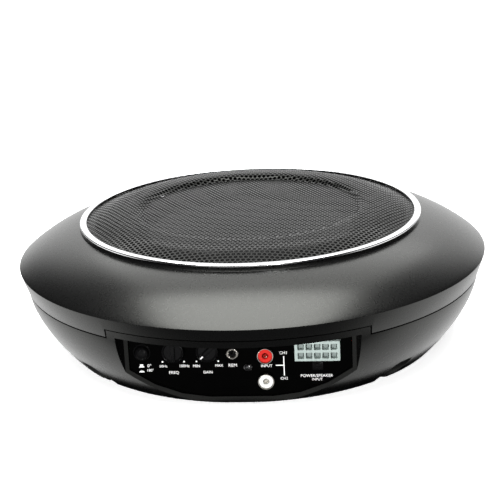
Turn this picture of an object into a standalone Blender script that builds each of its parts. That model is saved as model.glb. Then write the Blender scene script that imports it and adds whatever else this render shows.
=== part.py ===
"""Powered under-seat car subwoofer: a round two-part case, a grille over a 165 mm class woofer, and a
built-in amplifier with its control bay at the front.

Frame: origin at the centre of the footprint, on the surface that the feet stand on. +Z is up, and the
control bay faces -Y. All sizes are metres."""

import math

import bmesh
import bpy
from mathutils import Matrix, Vector

MM = 0.001
GAP = 0.3 * MM  # clearance between neighbouring pieces
PAST = 10 * MM  # how far a cutter reaches beyond what it cuts
BELOW = -1 * MM  # a cutter's start, under everything

# Case
RIM_R = 131.0 * MM  # widest radius, at the sharp rim
RIM_Z = 52.5 * MM
SEAM_R = 127.0 * MM  # where the top and bottom housings meet
SEAM_Z = 40.55 * MM
SEAM_GAP = 0.7 * MM
TONGUE_Z = 45.6 * MM  # the seam steps up over the control bay
TONGUE_R = 128.4 * MM
TONGUE_X = 66.8 * MM
TONGUE_BACK_Y = -70.0 * MM
CASE_Z = 1.5 * MM  # underside of the bottom housing
BASE_R = 103.5 * MM
WALL = 3.0 * MM
FLOOR_Z = 6.2 * MM  # inner face of the bottom housing's floor
OPENING_R = 84.0 * MM  # hole in that floor, closed by the base plate
REBATE_R = 92.0 * MM
REBATE_Z = 3.7 * MM
COLLAR_R = 95.2 * MM
COLLAR_Z = 71.9 * MM
SHOULDER_R = 96.0 * MM  # where the top shell meets the collar
SHOULDER_Z = 70.4 * MM
SHELL_BULGE = 2.2 * MM
SLOPE_NORMAL = (0.46, 0.89)  # outward direction of the top shell's slope, as (radial, up)
BOWL_FALL, BOWL_FULLNESS = 1.54, 1.05  # shape of the bottom housing's side
BOSS_TOP = SEAM_Z + 20 * MM
TUB_R = 87.5 * MM  # the well that the woofer sits in
TUB_WALL = 3.5 * MM
LEDGE_Z = 61.5 * MM
LEDGE_R = 78.0 * MM
LEDGE_T = 3.0 * MM

# Control bay
BAY_Y = -102.0 * MM  # flat face of the bay
BAY_X = 59.2 * MM  # half-width at the flat face
BAY_DRAFT = 0.31
BAY_TOP = 41.5 * MM
PLATE_Y = -100.9 * MM  # front face of the control plate
PLATE_T = 2.0 * MM
PLATE_OUTLINE = [(56.8, 41.0), (56.8, 20.5), (44.0, 12.4), (30.0, 7.2), (16.0, 5.2)]  # mm, right half
KNOB_Z = 30.2 * MM
FREQ_X = -34.2 * MM
GAIN_X = -16.7 * MM
KNOB_R = 5.7 * MM
KNOB_SHAFT_R = 2.8 * MM
KNOB_SHAFT_Y = -93.0 * MM  # inner end of the shaft
KNOB_FACE_Y = -104.2 * MM
PHASE_X = -50.3 * MM
PHASE_Z = 29.5 * MM
PHASE_R = 3.4 * MM
REMOTE_X = -3.9 * MM
REMOTE_Z = 28.5 * MM
REMOTE_R = 3.0 * MM
SCREW_X = 3.8 * MM
SCREW_Z = 20.6 * MM
RCA_X = 13.0 * MM
RCA_Z = (27.8 * MM, 13.8 * MM)
RCA_R = 4.15 * MM
RCA_FACE_Y = -104.8 * MM
HEADER_X = 39.4 * MM
HEADER_Z = 29.3 * MM
HEADER_W = 23.2 * MM
HEADER_H = 10.8 * MM
HEADER_FACE_Y = -102.4 * MM
HEADER_PITCH = 4.2 * MM
BOARD_Y = -87.6 * MM  # front face of the control board

# Corner pockets in the bottom housing, for hold-down straps or brackets
POCKET_X = 67.5 * MM
POCKET_Y = (71.0 * MM, 81.0 * MM)
POCKET_Z = 13.5 * MM
POCKET_WALL = 2.5 * MM

# Places of fasteners and feet
CASE_BOSS = (88.0 * MM, 41.0 * MM)
FOOT_XY = (54.0 * MM, 58.0 * MM)
BOSS_R = 4.5 * MM
BOSS_BORE = 1.8 * MM
WOOFER_SCREW_R = 82.9 * MM
WOOFER_SCREW_TURN = math.radians(45)
BASE_SCREW_R = 88.0 * MM
BASE_SCREW_TURN = math.radians(10)

BIG, MID, SMALL, TINY = 40, 28, 16, 8  # segments round a circle

MATERIALS = {  # colour, roughness, metallic
    "black_case": ((0.03, 0.031, 0.032), 0.45, 0.0),
    "black_panel": ((0.008, 0.008, 0.009), 0.4, 0.0),
    "black_steel": ((0.02, 0.02, 0.021), 0.4, 0.6),
    "bright_trim": ((0.86, 0.87, 0.88), 0.2, 1.0),
    "paper_cone": ((0.025, 0.025, 0.027), 0.8, 0.0),
    "rubber": ((0.02, 0.02, 0.02), 0.7, 0.0),
    "zinc_steel": ((0.6, 0.6, 0.58), 0.35, 1.0),
    "ferrite": ((0.05, 0.05, 0.055), 0.6, 0.0),
    "aluminium": ((0.75, 0.76, 0.77), 0.35, 1.0),
    "copper_wire": ((0.75, 0.38, 0.2), 0.35, 1.0),
    "spider_cloth": ((0.75, 0.62, 0.25), 0.9, 0.0),
    "circuit_board": ((0.03, 0.18, 0.07), 0.5, 0.0),
    "capacitor_sleeve": ((0.03, 0.04, 0.09), 0.4, 0.0),
    "white_nylon": ((0.82, 0.83, 0.81), 0.45, 0.0),
    "red_plastic": ((0.75, 0.05, 0.04), 0.4, 0.0),
    "nickel": ((0.7, 0.69, 0.66), 0.2, 1.0),
    "black_screw": ((0.03, 0.03, 0.03), 0.35, 0.8),
}


def clear_scene():
    for old in list(bpy.data.objects):
        bpy.data.objects.remove(old, do_unlink=True)


def material(name):
    if name in bpy.data.materials:
        return bpy.data.materials[name]
    colour, roughness, metallic = MATERIALS[name]
    made = bpy.data.materials.new(name)
    made.use_nodes = True
    shader = made.node_tree.nodes["Principled BSDF"]
    shader.inputs["Base Color"].default_value = (*colour, 1.0)
    shader.inputs["Roughness"].default_value = roughness
    shader.inputs["Metallic"].default_value = metallic
    return made


def add_object(name, bm, finish):
    """Store a bmesh as a named object with its material, or as a cutter when finish is None."""
    bmesh.ops.recalc_face_normals(bm, faces=bm.faces)
    mesh = bpy.data.meshes.new(name)
    bm.to_mesh(mesh)
    bm.free()
    mesh.shade_smooth()
    mesh.set_sharp_from_angle(angle=math.radians(35))
    made = bpy.data.objects.new(name, mesh)
    bpy.context.collection.objects.link(made)
    if finish is None:
        made.hide_render = True
        made.display_type = "WIRE"
    else:
        mesh.materials.append(material(finish))
    return made


def turned(name, profile, finish, segments=BIG, centre=(0.0, 0.0), facing=None):
    """Turn a closed (radius, height) outline about Z, or about the +Y line when facing is a point."""
    bm = bmesh.new()
    points = [bm.verts.new((r, 0.0, z)) for r, z in profile]
    edges = []
    for i, point in enumerate(points):
        follower = points[(i + 1) % len(points)]
        if point.co.x > 0 or follower.co.x > 0:
            edges.append(bm.edges.new((point, follower)))
    bmesh.ops.spin(
        bm, geom=points + edges, axis=(0, 0, 1), angle=math.tau, steps=segments, use_merge=True
    )
    bmesh.ops.remove_doubles(bm, verts=bm.verts, dist=1e-7)
    if facing is None:
        bmesh.ops.translate(bm, verts=bm.verts, vec=(centre[0], centre[1], 0.0))
    else:  # heights become distances along +Y
        bmesh.ops.rotate(bm, verts=bm.verts, matrix=Matrix.Rotation(math.radians(-90), 3, "X"))
        bmesh.ops.translate(bm, verts=bm.verts, vec=(facing[0], 0.0, facing[1]))
    return add_object(name, bm, finish)


def box_bmesh(low, high):
    bm = bmesh.new()
    bmesh.ops.create_cube(bm, size=1.0)
    size = Vector(high) - Vector(low)
    bmesh.ops.scale(bm, verts=bm.verts, vec=size)
    bmesh.ops.translate(bm, verts=bm.verts, vec=(Vector(high) + Vector(low)) / 2)
    return bm


def box(name, low, high, finish):
    return add_object(name, box_bmesh(low, high), finish)


def rod(name, radius, start, end, xy, finish=None, segments=SMALL):
    """An upright cylinder from height start to height end."""
    profile = [(0, start), (radius, start), (radius, end), (0, end)]
    return turned(name, profile, finish, segments, centre=xy)


def y_rod(name, radius, start, end, xz, finish=None, segments=SMALL):
    """A cylinder along Y from y = start to y = end."""
    profile = [(0, start), (radius, start), (radius, end), (0, end)]
    return turned(name, profile, finish, segments, facing=xz)


def slab(name, outline, y_front, y_back, finish):
    """An (x, z) outline extruded along Y."""
    bm = bmesh.new()
    face = bm.faces.new([bm.verts.new((x, y_front, z)) for x, z in outline])
    pushed = bmesh.ops.extrude_face_region(bm, geom=[face])
    moved = [v for v in pushed["geom"] if isinstance(v, bmesh.types.BMVert)]
    bmesh.ops.translate(bm, verts=moved, vec=(0, y_back - y_front, 0))
    return add_object(name, bm, finish)


def boolean(target, operation, *others):
    for other in others:
        step = target.modifiers.new(operation.lower(), "BOOLEAN")
        step.operation = operation
        step.solver = "EXACT"
        step.object = other
        other.hide_render = True
        other.display_type = "WIRE"


def cut(target, *others):
    boolean(target, "DIFFERENCE", *others)


def join(target, *others):
    boolean(target, "UNION", *others)


def corners(x, y):
    """The four mirrored places of a point."""
    return [(sx * x, sy * y) for sx in (1, -1) for sy in (1, -1)]


def round_the_axis(radius, count, start=0.0):
    turns = [start + math.tau * i / count for i in range(count)]
    return [(radius * math.cos(a), radius * math.sin(a)) for a in turns]


# ---- case ----


def bowl_outline(inset=0.0, steps=7):
    """The bottom housing's side from the seam down to the base: an arc that tightens as it falls."""
    points = []
    for i in range(steps + 1):
        t = i / steps
        bulge = (1 - t**BOWL_FALL) ** (1 / BOWL_FULLNESS)
        radius = BASE_R + (SEAM_R - BASE_R) * bulge
        points.append((radius - inset, SEAM_Z + (CASE_Z - SEAM_Z) * t))
    return points


def shell_outline(inset=0.0, steps=4):
    """The top housing's slope from the rim up to the shoulder, with a slight bulge."""
    out, up = SLOPE_NORMAL
    points = []
    for i in range(steps + 1):
        t = i / steps
        push = SHELL_BULGE * 4 * t * (1 - t) - inset
        radius = RIM_R + (SHOULDER_R - RIM_R) * t + push * out
        height = RIM_Z + (SHOULDER_Z - RIM_Z) * t + push * up
        points.append((radius, height))
    return points


def bay_cutter(name, y_flat, half_width, top, bottom):
    """A wedge-sided block in front of y_flat that widens towards the front."""
    reach = RIM_R + PAST + y_flat
    wide = half_width + BAY_DRAFT * reach
    bm = box_bmesh((-1, -1, bottom), (1, 0, top))
    for vert in bm.verts:
        front = vert.co.y < -0.5
        vert.co.x = math.copysign(wide if front else half_width, vert.co.x)
        vert.co.y = y_flat - reach if front else y_flat
    return add_object(name, bm, None)


def pocket_cutters(name, grow):
    made = []
    for sx in (1, -1):
        for sy in (1, -1):
            xs = sorted((sx * (POCKET_X - grow), sx * (RIM_R + PAST)))
            ys = sorted((sy * (POCKET_Y[0] - grow), sy * (POCKET_Y[1] + grow)))
            low = (xs[0], ys[0], -PAST)
            high = (xs[1], ys[1], POCKET_Z + grow)
            made.append(box(f"{name}_{sx}_{sy}", low, high, None))
    return made


def plate_outline(grow=0.0):
    """The control plate's edge: straight sides, then facets that follow the bowl."""
    right = [(x * MM + grow, z * MM) for x, z in PLATE_OUTLINE]
    right = [(x, z + (grow if i == 0 else -grow)) for i, (x, z) in enumerate(right)]
    return right + [(-x, z) for x, z in reversed(right)]


def bottom_housing():
    top = TONGUE_Z - SEAM_GAP / 2
    base_edge = [(BASE_R + 0.1 * MM, CASE_Z + 1.0 * MM), (BASE_R - 1.2 * MM, CASE_Z)]
    side = bowl_outline()[:-1] + base_edge
    rebate = [(REBATE_R, CASE_Z), (REBATE_R, REBATE_Z), (OPENING_R, REBATE_Z), (OPENING_R, top)]
    housing = turned("bottom_housing", [(TONGUE_R, top)] + side + rebate, "black_case")
    cut(housing, bay_cutter("bay_space", BAY_Y, BAY_X, BAY_TOP, -PAST))
    cut(housing, *pocket_cutters("pocket", 0.0))
    inner_side = [p for p in bowl_outline(WALL) if p[1] > FLOOR_Z + 1 * MM]
    above = TONGUE_Z + PAST
    inner = [(0, above), (TONGUE_R - WALL, above), (TONGUE_R - WALL, TONGUE_Z)] + inner_side
    inner += [(inner_side[-1][0] - 2.0 * MM, FLOOR_Z), (0, FLOOR_Z)]
    cavity = turned("cavity", inner, None)
    roof = BAY_TOP + 2.2 * MM
    backing = bay_cutter("bay_backing", BAY_Y + WALL, BAY_X + WALL, roof, -2 * PAST)
    cut(cavity, backing, *pocket_cutters("pocket_backing", POCKET_WALL))
    for i, xy in enumerate(corners(*CASE_BOSS)):
        cut(cavity, rod(f"case_boss_{i}", BOSS_R, 0.0, BOSS_TOP, xy))
    cut(housing, cavity)
    cut(housing, slab("plate_window", plate_outline(GAP), BAY_Y - MM, BAY_Y + WALL + MM, None))
    sink_r, sink_depth = 3.6 * MM, 3.0 * MM
    for i, xy in enumerate(corners(*CASE_BOSS)):
        cut(housing, rod(f"case_boss_hole_{i}", BOSS_BORE, BELOW, BOSS_TOP, xy, segments=TINY))
        cut(housing, rod(f"case_boss_sink_{i}", sink_r, BELOW, CASE_Z + sink_depth, xy, segments=TINY))
    for i, xy in enumerate(round_the_axis(BASE_SCREW_R, 4, BASE_SCREW_TURN)):
        cut(housing, rod(f"base_screw_hole_{i}", 1.5 * MM, BELOW, PAST, xy, segments=TINY))
    seam = box("seam_space", (-0.2, -0.2, SEAM_Z - SEAM_GAP / 2), (0.2, 0.2, 0.1), None)
    side_x = TONGUE_X - SEAM_GAP / 2
    cut(seam, box("tongue", (-side_x, -0.3, 0), (side_x, TONGUE_BACK_Y, 0.2), None))
    cut(housing, seam)


def top_housing():
    slope = shell_outline()
    inner_slope = shell_outline(WALL)
    side_low = SEAM_Z + SEAM_GAP / 2
    outer = [(TUB_R, COLLAR_Z), (COLLAR_R, COLLAR_Z), (COLLAR_R, SHOULDER_Z + 0.1 * MM)]
    outer += list(reversed(slope))
    outer += [(RIM_R - 0.25 * MM, RIM_Z - 0.5 * MM), (SEAM_R + 0.2 * MM, side_low)]
    lip_low = side_low - 2.6 * MM  # a lip that laps inside the seam
    lip_outer, lip_inner = SEAM_R - WALL - 0.8 * MM, SEAM_R - WALL - 2.6 * MM
    inner = [(lip_outer, side_low), (lip_outer, lip_low), (lip_inner, lip_low)]
    inner += [(lip_inner, side_low + 2.0 * MM), (RIM_R - WALL - 0.8 * MM, RIM_Z - 1.8 * MM)]
    inner += inner_slope[1:-1]
    ceiling, tub_outer = inner_slope[-1][1], TUB_R + TUB_WALL
    inner += [(COLLAR_R + 1.5 * MM, ceiling), (tub_outer, ceiling - MM)]
    inner += [(tub_outer, LEDGE_Z - LEDGE_T), (LEDGE_R, LEDGE_Z - LEDGE_T)]
    inner += [(LEDGE_R, LEDGE_Z), (TUB_R, LEDGE_Z)]
    housing = turned("top_housing", outer + inner, "black_case")
    half = TONGUE_X + SEAM_GAP / 2
    notch_top = TONGUE_Z + SEAM_GAP / 2
    cut(housing, box("tongue_notch", (-half, -0.2, 0), (half, TONGUE_BACK_Y, notch_top), None))
    low, high = SEAM_Z + MM, 66.9 * MM
    for i, xy in enumerate(corners(*CASE_BOSS)):
        tube = [(BOSS_BORE, high), (BOSS_R, high), (BOSS_R, low), (BOSS_BORE, low)]
        join(housing, turned(f"top_boss_{i}", tube, None, SMALL, centre=xy))
    for i, xy in enumerate(round_the_axis(WOOFER_SCREW_R, 4, WOOFER_SCREW_TURN)):
        cut(housing, rod(f"ledge_hole_{i}", 1.8 * MM, 50 * MM, LEDGE_Z + MM, xy, segments=TINY))


def base_plate():
    low, high, rim = 1.9 * MM, 3.4 * MM, 91.6 * MM
    plate = turned("base_plate", [(0, high), (rim, high), (rim, low), (0, low)], "black_steel")
    for i, xy in enumerate(round_the_axis(BASE_SCREW_R, 4, BASE_SCREW_TURN)):
        cut(plate, rod(f"plate_hole_{i}", 1.7 * MM, BELOW, PAST, xy, segments=TINY))


def screw(name, xy, head_z, head_t, head_r, tip_z, finish):
    """A pan head with a plain shank, pointing to tip_z."""
    shank = 1.3 * MM
    depth = math.copysign(head_t, head_z - tip_z)
    under = head_z - depth
    profile = [(0, head_z), (head_r * 0.6, head_z), (head_r, head_z - depth * 0.4)]
    profile += [(head_r, under), (shank, under), (shank, tip_z), (0, tip_z)]
    turned(name, profile, finish, TINY, centre=xy)


def fasteners_and_feet():
    for i, xy in enumerate(corners(*CASE_BOSS)):
        screw(f"case_screw_{i + 1}", xy, 2.0 * MM, 2.2 * MM, 3.2 * MM, 55 * MM, "black_screw")
    for i, xy in enumerate(round_the_axis(BASE_SCREW_R, 4, BASE_SCREW_TURN)):
        screw(f"base_screw_{i + 1}", xy, 0.5 * MM, 1.1 * MM, 2.6 * MM, 7.2 * MM, "black_screw")
    for i, xy in enumerate(round_the_axis(WOOFER_SCREW_R, 4, WOOFER_SCREW_TURN)):
        screw(f"woofer_screw_{i + 1}", xy, 67.6 * MM, 1.6 * MM, 2.8 * MM, 55 * MM, "black_screw")
    for i, xy in enumerate(corners(*FOOT_XY)):
        profile = [(0, 1.6 * MM), (9 * MM, 1.6 * MM), (9 * MM, 0.6 * MM), (8.2 * MM, 0), (0, 0)]
        turned(f"rubber_foot_{i + 1}", profile, "rubber", SMALL, centre=xy)


# ---- grille ----


def trim_ring():
    z0, z1 = COLLAR_Z + GAP, 73.8 * MM
    r0, r1 = 92.1 * MM, 95.8 * MM
    profile = [(r0, z1 - 0.3 * MM), (r0 + 0.5 * MM, z1), (r1 - 0.6 * MM, z1), (r1, z1 - 0.6 * MM)]
    turned("trim_ring", profile + [(r1, z0), (r0, z0)], "bright_trim")


def grille():
    """A sheet with a rounded shoulder, a crown, and a shallow step down to the middle."""
    thick, edge_r, edge_z = 0.8, 91.6, COLLAR_Z / MM + 0.3
    upper = [(0, 75.9), (30, 75.9), (60.5, 75.5), (63.5, 77.6), (67, 77.8), (76, 77.3)]
    upper += [(84, 76.1), (89.5, 74.6), (edge_r, 73.06)]
    lower = [(r, z - thick) for r, z in upper[:-1]]
    outline = upper + [(edge_r, edge_z), (edge_r - 1.4, edge_z)] + lower[::-1]
    turned("grille", [(r * MM, z * MM) for r, z in outline], "black_steel")


# ---- woofer ----


def basket():
    outside = [(14.5, 33.5), (41.8, 33.5), (41.8, 37.4), (49.5, 37.4), (77.4, 59.8), (77.4, 61.8), (86.5, 61.8)]
    inside = [(86.5, 63.3), (75.6, 63.3), (75.6, 60.6), (48.8, 39.2), (40.2, 39.2), (40.2, 35.0), (14.5, 35.0)]
    frame = turned("basket", [(r * MM, z * MM) for r, z in outside + inside], "black_steel", MID)
    for i in range(6):
        bm = box_bmesh((52 * MM, -11 * MM, 38 * MM), (72 * MM, 11 * MM, 58.5 * MM))
        turn = Matrix.Rotation(math.tau * i / 6, 3, "Z")
        bmesh.ops.rotate(bm, verts=bm.verts, matrix=turn)
        cut(frame, add_object(f"basket_window_{i}", bm, None))
    for i, xy in enumerate(round_the_axis(WOOFER_SCREW_R, 4, WOOFER_SCREW_TURN)):
        cut(frame, rod(f"basket_hole_{i}", 1.8 * MM, 60 * MM, 65 * MM, xy, segments=TINY))


def woofer_gasket():
    profile = [(79.6, 63.6), (86.3, 63.6), (86.3, 65.7), (79.6, 65.7)]
    gasket = turned("woofer_gasket", [(r * MM, z * MM) for r, z in profile], "rubber", MID)
    for i, xy in enumerate(round_the_axis(WOOFER_SCREW_R, 4, WOOFER_SCREW_TURN)):
        cut(gasket, rod(f"gasket_hole_{i}", 1.8 * MM, 60 * MM, 70 * MM, xy, segments=TINY))


def surround():
    """A half-roll of rubber between two flat lips."""
    thick, centre_r, roll_r, lip_z = 0.8, 68.0, 5.6, 63.6
    arc = [math.pi * i / 6 for i in range(7)]
    upper = [(58.2, lip_z + thick)]
    upper += [(centre_r - roll_r * math.cos(a), lip_z + thick + roll_r * math.sin(a)) for a in arc]
    upper += [(79.3, lip_z + thick)]
    inner_r = roll_r - thick
    lower = [(58.2, lip_z)]
    lower += [(centre_r - inner_r * math.cos(a), lip_z + inner_r * math.sin(a)) for a in arc]
    lower += [(79.3, lip_z)]
    outline = upper + list(reversed(lower))
    turned("surround", [(r * MM, z * MM) for r, z in outline], "rubber", MID)


def cone_and_coil():
    cone = [(13.2, 47.0), (25.0, 51.6), (42.0, 57.6), (57.6, 62.4), (62.0, 62.4)]
    cone += [(62.0, 63.3), (57.4, 63.3), (41.6, 58.5), (24.6, 52.5), (13.2, 48.0)]
    turned("cone", [(r * MM, z * MM) for r, z in cone], "paper_cone", MID)
    cap_r, cap_z, cap_rise, cap_t = 20.0, 51.3, 6.0, 0.8
    steps = [math.radians(90 * i / 4) for i in range(5)]
    dome = [(cap_r * math.sin(a), cap_z + cap_rise * math.cos(a)) for a in steps]
    hollow = [((cap_r - cap_t) * math.sin(a), cap_z + (cap_rise - cap_t) * math.cos(a)) for a in steps]
    turned("dust_cap", [(r * MM, z * MM) for r, z in dome + hollow[::-1]], "paper_cone", MID)
    bore, former, winding = 12.6, 12.9, 13.5
    coil = [(bore, 22.0), (former, 22.0), (former, 24.0), (winding, 24.0), (winding, 37.0)]
    coil += [(former, 37.0), (former, 50.4), (bore, 50.4)]
    turned("voice_coil", [(r * MM, z * MM) for r, z in coil], "copper_wire", SMALL)


def spider():
    """A corrugated cloth disc from the coil to the basket's shelf."""
    thick, waves, swing, inner, outer, height = 0.5, 2, 1.1, 13.2, 40.0, 40.1
    upper = []
    steps = waves * 4
    for i in range(steps + 1):
        t = i / steps
        wave = swing * math.sin(math.tau * waves * t)
        upper.append((inner + (outer - inner) * t, height + wave))
    upper.append((46.0, height))
    lower = [(r, z - thick) for r, z in upper]
    outline = upper + list(reversed(lower))
    turned("spider", [(r * MM, z * MM) for r, z in outline], "spider_cloth", MID)


def motor():
    top = [(13.9, 28.2), (42.0, 28.2), (42.0, 33.2), (13.9, 33.2)]
    turned("top_plate", [(r * MM, z * MM) for r, z in top], "zinc_steel", MID)
    ring = [(20.0, 16.0), (46.5, 16.0), (47.5, 17.0), (47.5, 26.9), (46.5, 27.9), (20.0, 27.9)]
    turned("magnet", [(r * MM, z * MM) for r, z in ring], "ferrite", MID)
    yoke = [(0, 10.0), (40.5, 10.0), (42.0, 11.5), (42.0, 15.7), (12.2, 15.7), (12.2, 33.2), (0, 33.2)]
    turned("back_plate", [(r * MM, z * MM) for r, z in yoke], "zinc_steel", MID)


def terminal_strip():
    x0, x1 = 42.2 * MM, 51.0 * MM
    strip = box("terminal_strip", (x0, -8 * MM, 33.8 * MM), (x1, 8 * MM, 35.0 * MM), "circuit_board")
    lug_y, lug_half = 5 * MM, 1.4 * MM
    for side in (-1, 1):
        low = (x1 - 2.4 * MM, side * lug_y - lug_half, 30.8 * MM)
        high = (x1 - 1.6 * MM, side * lug_y + lug_half, 34.2 * MM)
        join(strip, box(f"terminal_lug_{side}", low, high, None))


# ---- amplifier ----


def amplifier():
    pcb_low, pcb_top = 9.0 * MM, 10.6 * MM
    box("amp_board", (-58 * MM, -84 * MM, pcb_low), (58 * MM, -46 * MM, pcb_top), "circuit_board")
    stand = pcb_top + GAP
    for i, xy in enumerate([(sx * 50 * MM, y * MM) for sx in (-1, 1) for y in (-62, -49)]):
        rod(f"board_standoff_{i + 1}", 3 * MM, 3.7 * MM, pcb_low - GAP, xy, "zinc_steel", 6)
    for i, x in enumerate((-30, 30)):
        profile = [(0, 21), (7.2, 21), (8, 20.2), (8, 0.8), (7.2, 0), (0, 0)]
        profile = [(r * MM, stand + z * MM) for r, z in profile]
        turned(f"capacitor_{i + 1}", profile, "capacitor_sleeve", SMALL, centre=(x * MM, -72 * MM))
    coil = [(6, 1), (7, 0), (11, 0), (12, 1), (12, 9), (11, 10), (7, 10), (6, 9)]
    coil = [(r * MM, stand + z * MM) for r, z in coil]
    turned("inductor", coil, "copper_wire", SMALL, centre=(0, -74 * MM))
    for i, x in enumerate((-26, 26)):
        low = ((x - 5) * MM, -52.4 * MM, stand)
        box(f"power_transistor_{i + 1}", low, ((x + 5) * MM, -48.6 * MM, stand + 14 * MM), "black_panel")
    fin_top, fin_half, fin_pitch = 28 * MM, 0.8 * MM, 12 * MM
    fin_front, fin_root = -61 * MM, -54 * MM
    sink = box("heatsink", (-50 * MM, -54.4 * MM, stand), (50 * MM, -52.7 * MM, fin_top), "aluminium")
    for i in range(-4, 5):
        x = fin_pitch * i
        low, high = (x - fin_half, fin_front, stand), (x + fin_half, fin_root, fin_top)
        join(sink, box(f"fin_{i}", low, high, None))


def speaker_lead():
    """The pair from the amplifier board up to the woofer's terminals, as one sleeve."""
    route = [(55, -62, 12.4), (55.3, -60, 14), (56, -55, 18), (57, -46, 22), (57, -32, 25)]
    route += [(56, -16, 27.5), (53.9, -4, 29.5), (53.2, 0, 31.2), (53.0, 1.5, 33.2)]
    curve = bpy.data.curves.new("speaker_lead", "CURVE")
    curve.dimensions = "3D"
    curve.bevel_depth = 1.2 * MM
    curve.bevel_resolution = 2
    curve.use_fill_caps = True
    line = curve.splines.new("POLY")
    line.points.add(len(route) - 1)
    for point, place in zip(line.points, route):
        point.co = (place[0] * MM, place[1] * MM, place[2] * MM, 1.0)
    made = bpy.data.objects.new("speaker_lead", curve)
    bpy.context.collection.objects.link(made)
    curve.materials.append(material("red_plastic"))


# ---- control bay ----


def control_plate():
    back = PLATE_Y + PLATE_T
    plate = slab("control_plate", plate_outline(), PLATE_Y, back, "black_panel")
    holes = [(PHASE_X, PHASE_Z, PHASE_R + GAP), (SCREW_X, SCREW_Z, 1.7 * MM)]
    holes += [(x, KNOB_Z, KNOB_SHAFT_R + 0.4 * MM) for x in (FREQ_X, GAIN_X)]
    holes += [(REMOTE_X, REMOTE_Z, REMOTE_R + GAP)]
    holes += [(RCA_X, z, RCA_R + GAP) for z in RCA_Z]
    for i, (x, z, radius) in enumerate(holes):
        cut(plate, y_rod(f"panel_hole_{i}", radius, PLATE_Y - MM, back + MM, (x, z)))
    half_w, half_h = HEADER_W / 2 + GAP, HEADER_H / 2 + GAP
    low = (HEADER_X - half_w, PLATE_Y - MM, HEADER_Z - half_h)
    cut(plate, box("header_opening", low, (HEADER_X + half_w, back + MM, HEADER_Z + half_h), None))


def control_board():
    outline = [(-56, 40), (-56, 22), (-44, 14), (-30, 9), (30, 9), (44, 14), (56, 22), (56, 40)]
    outline = [(x * MM, z * MM) for x, z in outline]
    slab("control_board", outline, BOARD_Y, BOARD_Y + 1.6 * MM, "circuit_board")


def knob_and_pot(name, x, pointer_deg):
    """A grip knob whose shaft turns in its potentiometer; the pointer angle is clockwise from up."""
    front, back = KNOB_FACE_Y, PLATE_Y - GAP
    edge = 0.5 * MM
    profile = [(0, front), (KNOB_R - edge, front), (KNOB_R, front + edge), (KNOB_R, back)]
    profile += [(KNOB_SHAFT_R, back), (KNOB_SHAFT_R, KNOB_SHAFT_Y), (0, KNOB_SHAFT_Y)]
    knob = turned(f"{name}_knob", profile, "black_panel", SMALL, facing=(x, KNOB_Z))
    grip_half, grip_long = 1.1 * MM, 4.9 * MM
    bm = box_bmesh((-grip_half, front - MM, -grip_long), (grip_half, front + MM, grip_long))
    turn = Matrix.Rotation(math.radians(pointer_deg), 3, "Y")
    bmesh.ops.rotate(bm, verts=bm.verts, matrix=turn)
    bmesh.ops.translate(bm, verts=bm.verts, vec=(x, 0, KNOB_Z))
    join(knob, add_object(f"{name}_grip", bm, None))
    half = 5.0 * MM
    low = (x - half, PLATE_Y + PLATE_T + GAP, KNOB_Z - half)
    pot = box(f"{name}_pot", low, (x + half, BOARD_Y - GAP, KNOB_Z + half), "zinc_steel")
    bore_back = KNOB_SHAFT_Y + 0.4 * MM
    cut(pot, y_rod(f"{name}_bore", KNOB_SHAFT_R + GAP, PLATE_Y - PAST, bore_back, (x, KNOB_Z)))


def phase_button_and_switch():
    front, back, edge = -104.0 * MM, -95.0 * MM, 0.5 * MM
    profile = [(0, front), (PHASE_R - edge, front), (PHASE_R, front + edge), (PHASE_R, back), (0, back)]
    turned("phase_button", profile, "black_panel", SMALL, facing=(PHASE_X, PHASE_Z))
    half = 4.6 * MM
    low = (PHASE_X - half, PLATE_Y + PLATE_T + GAP, PHASE_Z - half)
    switch = box("phase_switch", low, (PHASE_X + half, BOARD_Y - GAP, PHASE_Z + half), "black_panel")
    bore_back = back + 3.5 * MM  # leaves room for the button's travel
    cut(switch, y_rod("phase_bore", PHASE_R + GAP, PLATE_Y - PAST, bore_back, (PHASE_X, PHASE_Z)))


def remote_jack():
    bore, flange, edge = 1.8 * MM, 4.6 * MM, 0.4 * MM
    face, bottom, tail, back = -102.6 * MM, -98.0 * MM, -92.0 * MM, PLATE_Y + PLATE_T + GAP
    profile = [(0, tail), (0, bottom), (bore, bottom), (bore, face), (REMOTE_R - edge, face)]
    profile += [(REMOTE_R, face + edge), (REMOTE_R, back), (flange, back), (flange, tail)]
    turned("remote_jack", profile, "nickel", SMALL, facing=(REMOTE_X, REMOTE_Z))


def panel_screw():
    head, shank, tip = 2.3 * MM, 1.4 * MM, -90 * MM
    face, under = PLATE_Y - 1.9 * MM, PLATE_Y - GAP
    profile = [(0, face), (head * 0.6, face), (head, face + 0.8 * MM), (head, under)]
    profile += [(shank, under), (shank, tip), (0, tip)]
    turned("panel_screw", profile, "black_screw", TINY, facing=(SCREW_X, SCREW_Z))


def rca_pair():
    back = PLATE_Y + PLATE_T + GAP
    seat = back - GAP
    half_w, margin = 5.2 * MM, 6 * MM
    low = (RCA_X - half_w, back, RCA_Z[1] - margin)
    box("rca_block", low, (RCA_X + half_w, BOARD_Y - GAP, RCA_Z[0] + margin), "black_panel")
    inner = RCA_R - 0.45 * MM
    outer, bore = inner - 0.15 * MM, 1.6 * MM
    face, bottom = RCA_FACE_Y + 0.3 * MM, seat - 1.0 * MM
    for name, z, finish in (("red", RCA_Z[0], "red_plastic"), ("white", RCA_Z[1], "white_nylon")):
        shell = [(inner, RCA_FACE_Y), (RCA_R, RCA_FACE_Y), (RCA_R, seat), (inner, seat)]
        turned(f"rca_shell_{name}", shell, "nickel", SMALL, facing=(RCA_X, z))
        core = [(bore, face), (outer, face), (outer, seat), (0, seat), (0, bottom), (bore, bottom)]
        turned(f"rca_insulator_{name}", core, finish, SMALL, facing=(RCA_X, z))


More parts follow.
